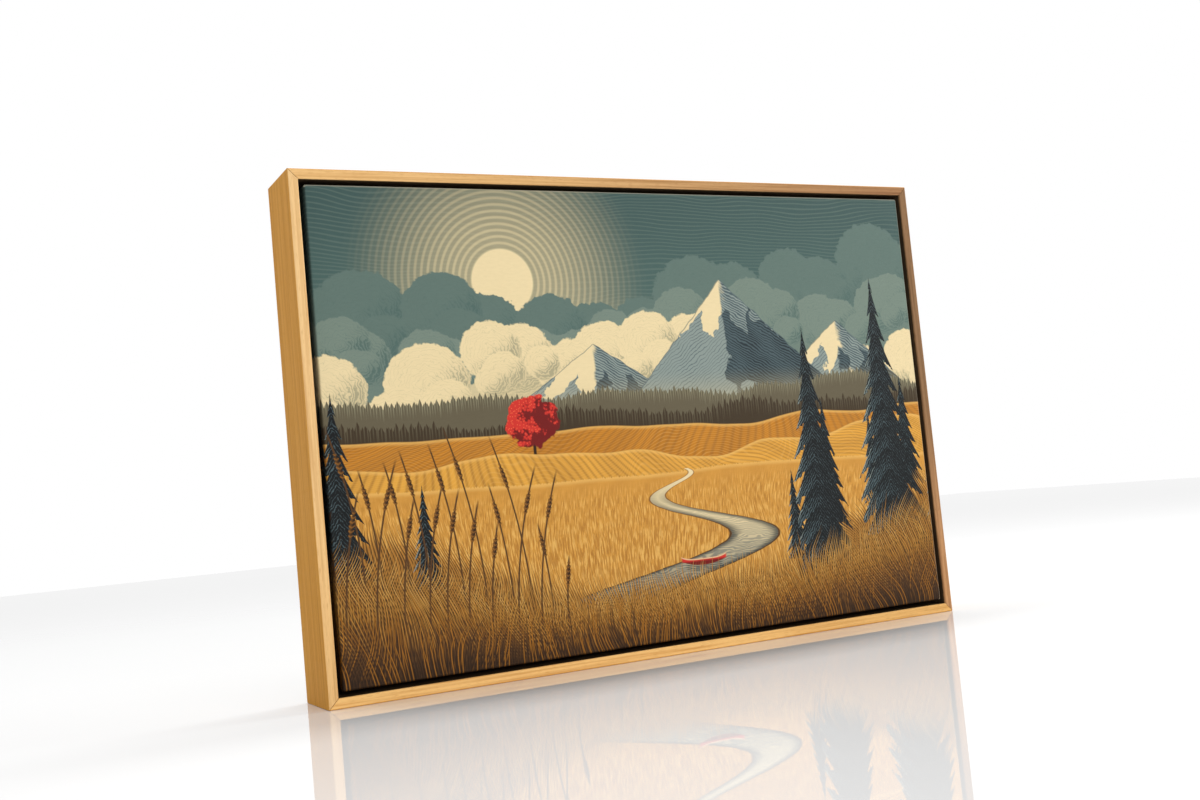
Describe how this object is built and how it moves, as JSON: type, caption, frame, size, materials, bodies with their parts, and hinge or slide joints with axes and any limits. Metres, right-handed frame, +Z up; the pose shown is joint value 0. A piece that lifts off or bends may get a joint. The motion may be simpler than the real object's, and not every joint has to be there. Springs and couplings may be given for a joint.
{
  "type": "floater-framed canvas print",
  "caption": "Landscape canvas print stretched over wooden bars in a slim light wood floater frame, with a sawtooth hanger and rubber pads behind; stands on its edge or hangs on a wall.",
  "frame": {"origin": "centre of the footprint, on the surface that the frame stands on: under the middle of the bottom moulding, half way between the frame's front and the back of the rubber pads", "axes": "+X to the right as the picture is seen from in front, +Y to the back, away from the viewer, +Z up; the picture faces -Y"},
  "size_m": [0.4762, 0.054, 0.3239],
  "materials": {
    "frame_wood": "satin clear finish on light wood, matte black on the inner wall",
    "printed_canvas": "woven cotton, printed, satin",
    "bar_wood": "bare planed softwood",
    "bright_steel": "bright plated",
    "zinc_steel": "yellow zinc plated",
    "pad_rubber": "matte black"
  },
  "bodies": {
    "root": {"frame_top": "frame_wood", "frame_right": "frame_wood", "frame_bottom": "frame_wood", "frame_left": "frame_wood", "canvas": "printed_canvas", "bar_top": "bar_wood", "bar_right": "bar_wood", "bar_bottom": "bar_wood", "bar_left": "bar_wood", "hanger": "bright_steel", "hanger_nail_left": "bright_steel", "hanger_nail_right": "bright_steel", "bumper_left": "pad_rubber", "bumper_right": "pad_rubber", "screw_top_left": "zinc_steel", "screw_top_right": "zinc_steel", "screw_bottom_left": "zinc_steel", "screw_bottom_right": "zinc_steel", "screw_left_high": "zinc_steel", "screw_left_low": "zinc_steel", "screw_right_high": "zinc_steel", "screw_right_low": "zinc_steel"}
  },
  "joints": []
}
